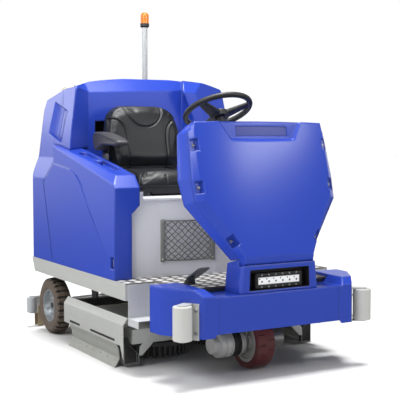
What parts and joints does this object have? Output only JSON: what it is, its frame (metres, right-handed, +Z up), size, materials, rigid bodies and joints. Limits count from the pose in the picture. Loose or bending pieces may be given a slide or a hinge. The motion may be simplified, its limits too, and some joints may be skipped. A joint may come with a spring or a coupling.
{
  "type": "ride-on floor scrubber dryer",
  "caption": "Ride-on floor scrubber dryer with moulded tanks, offset seat, leaning front cover, steered front drive wheel, lifting disc-brush deck, curved rear squeegee and beacon.",
  "frame": {"origin": "on the ground under the middle of the overall box", "axes": "+Z up, +Y to the rear (the machine drives towards -Y), +X to the operator's left"},
  "size_m": [1.304, 2.045, 1.982],
  "materials": {
    "blue_plastic": "satin rotomoulded royal blue polyethylene",
    "stainless": "brushed stainless sheet",
    "grey_panel": "light grey satin paint",
    "black_metal": "black satin paint",
    "black_plastic": "fine-grained black plastic",
    "black_rubber": "matt black rubber",
    "seat_vinyl": "grained black vinyl",
    "brown_tyre": "matt grey-brown non-marking rubber",
    "red_tyre": "satin dark red polyurethane",
    "rim_metal": "light grey paint",
    "pale_roller": "off-white polyurethane",
    "grey_roller": "light grey polyurethane",
    "cream_lid": "cream polyethylene",
    "net_cord": "knotted dark grey cord",
    "smoke_flap": "smoke grey sheet with bright cut edges",
    "pale_strip": "light grey folded strip",
    "gum_rubber": "tan gum rubber",
    "bristle": "dark nylon bristle",
    "lamp_glass": "clear lens over white cells",
    "amber_glass": "amber translucent dome",
    "mast_metal": "satin anodised tube",
    "cast_metal": "sand-cast grey aluminium",
    "steel": "zinc-plated and grey painted steel"
  },
  "bodies": {
    "machine": {"chassis_frame": "black_metal", "floor_plate": "stainless", "side_skirts": "stainless", "steps": "stainless", "bumper": "blue_plastic", "roller_brackets": "stainless", "slew_ring": "steel", "rear_axle": "black_metal", "side_tank_right": "blue_plastic", "side_tank_left": "blue_plastic", "seat_surround": "blue_plastic", "recovery_tank": "blue_plastic", "beacon_mast": "mast_metal", "beacon_base": "black_plastic", "beacon_lens": "amber_glass", "battery_box": "grey_panel", "battery_pack": "black_plastic", "storage_net": "net_cord", "seat_rails": "steel", "front_column": "blue_plastic", "front_cover": "blue_plastic", "cover_bolts": "steel", "cowl": "blue_plastic", "led_bar": "black_plastic", "led_lenses": "lamp_glass", "steering_column": "black_plastic", "pedal_bracket": "black_metal", "vacuum_motor": "black_plastic"},
    "seat": {"seat_pan": "black_metal", "seat_cushion": "seat_vinyl"},
    "backrest": {"backrest_shell": "black_plastic", "backrest_pad": "seat_vinyl"},
    "arm_left": {"armrest_left": "black_plastic"},
    "arm_right": {"armrest_right": "black_plastic"},
    "steering": {"steering_wheel": "black_plastic"},
    "turntable": {"drive_yoke": "steel", "drive_motor": "cast_metal"},
    "drive_wheel": {"drive_hub": "cast_metal", "drive_tyre": "red_tyre"},
    "wheel_left": {"rim_left": "rim_metal", "tyre_left": "brown_tyre"},
    "wheel_right": {"rim_right": "rim_metal", "tyre_right": "brown_tyre"},
    "roller_left": {"bumper_roller_left": "pale_roller"},
    "roller_right": {"bumper_roller_right": "pale_roller"},
    "deck": {"deck_housing": "stainless", "side_guards": "stainless", "side_squeegees": "pale_strip", "splash_guards": "smoke_flap", "brush_motors": "steel"},
    "disc_left": {"brush_left": "bristle"},
    "disc_right": {"brush_right": "bristle"},
    "squeegee": {"squeegee_arm": "black_metal", "squeegee_body": "cast_metal", "squeegee_blades": "gum_rubber"},
    "tail_left": {"tail_roller_left": "grey_roller"},
    "tail_right": {"tail_roller_right": "grey_roller"},
    "pedal": {"accelerator_pedal": "steel"},
    "lid": {"tank_lid": "cream_lid"},
    "cap": {"filler_cap": "black_plastic"}
  },
  "joints": [
    {"name": "drive_steer", "type": "hinge", "parent": "machine", "child": "turntable", "pos_m": [0, -0.74851, 0.14], "axis": [0, 0, 1], "range_deg": [-50, 50]},
    {"name": "wheel_turn", "type": "hinge", "parent": "machine", "child": "steering", "pos_m": [-0.16, -0.66251, 1.334], "axis": [0, 0.4493, 0.8934], "range_deg": [-270, 270]},
    {"name": "drive_spin", "type": "hinge", "parent": "turntable", "child": "drive_wheel", "pos_m": [0, -0.74851, 0.14], "axis": [1, 0, 0], "continuous": true},
    {"name": "wheel_left_spin", "type": "hinge", "parent": "machine", "child": "wheel_left", "pos_m": [0.565, 0.60049, 0.171], "axis": [1, 0, 0], "continuous": true},
    {"name": "wheel_right_spin", "type": "hinge", "parent": "machine", "child": "wheel_right", "pos_m": [-0.565, 0.60049, 0.171], "axis": [1, 0, 0], "continuous": true},
    {"name": "roller_left_spin", "type": "hinge", "parent": "machine", "child": "roller_left", "pos_m": [0.54214, -0.97549, 0.319], "axis": [0, 0, 1], "continuous": true},
    {"name": "roller_right_spin", "type": "hinge", "parent": "machine", "child": "roller_right", "pos_m": [-0.54214, -0.97549, 0.319], "axis": [0, 0, 1], "continuous": true},
    {"name": "deck_lift", "type": "slide", "parent": "machine", "child": "deck", "axis": [0, 0, 1], "range_m": [0, 0.06]},
    {"name": "brush_left_spin", "type": "hinge", "parent": "deck", "child": "disc_left", "pos_m": [0.268, -0.10151, 0.202], "axis": [0, 0, 1], "continuous": true},
    {"name": "brush_right_spin", "type": "hinge", "parent": "deck", "child": "disc_right", "pos_m": [-0.268, -0.10151, 0.202], "axis": [0, 0, 1], "continuous": true},
    {"name": "squeegee_lift", "type": "hinge", "parent": "machine", "child": "squeegee", "pos_m": [0, 0.81049, 0.33], "axis": [1, 0, 0], "range_deg": [0, 18]},
    {"name": "tail_left_spin", "type": "hinge", "parent": "squeegee", "child": "tail_left", "pos_m": [0.625, 0.86649, 0.138], "axis": [0, 0, 1], "continuous": true},
    {"name": "tail_right_spin", "type": "hinge", "parent": "squeegee", "child": "tail_right", "pos_m": [-0.625, 0.86649, 0.138], "axis": [0, 0, 1], "continuous": true},
    {"name": "seat_slide", "type": "slide", "parent": "machine", "child": "seat", "axis": [0, 1, 0], "range_m": [-0.1, 0.02]},
    {"name": "back_recline", "type": "hinge", "parent": "seat", "child": "backrest", "pos_m": [-0.16, 0.18449, 0.936], "axis": [-1, 0, 0], "range_deg": [-3, 8]},
    {"name": "arm_left_lift", "type": "hinge", "parent": "backrest", "child": "arm_left", "pos_m": [0.124, 0.16849, 1.138], "axis": [-1, 0, 0], "range_deg": [0, 80]},
    {"name": "arm_right_lift", "type": "hinge", "parent": "backrest", "child": "arm_right", "pos_m": [-0.444, 0.16849, 1.138], "axis": [-1, 0, 0], "range_deg": [0, 80]},
    {"name": "pedal_press", "type": "hinge", "parent": "machine", "child": "pedal", "pos_m": [-0.353, -0.71451, 0.474], "axis": [1, 0, 0], "range_deg": [0, 15], "stiffness_Nm_per_rad": 2, "springref_deg": -11.46},
    {"name": "lid_open", "type": "hinge", "parent": "machine", "child": "lid", "pos_m": [-0.419, 0.7133, 1.45752], "axis": [-1, 0, 0], "range_deg": [0, 100]},
    {"name": "cap_turn", "type": "hinge", "parent": "machine", "child": "cap", "pos_m": [-0.545, -0.02151, 1.0722], "axis": [0, -0.1904, 0.9817], "range_deg": [0, 90]}
  ],
  "couplings": [
    {"joint": "wheel_turn", "follows": "drive_steer", "ratio": 5.4}
  ]
}
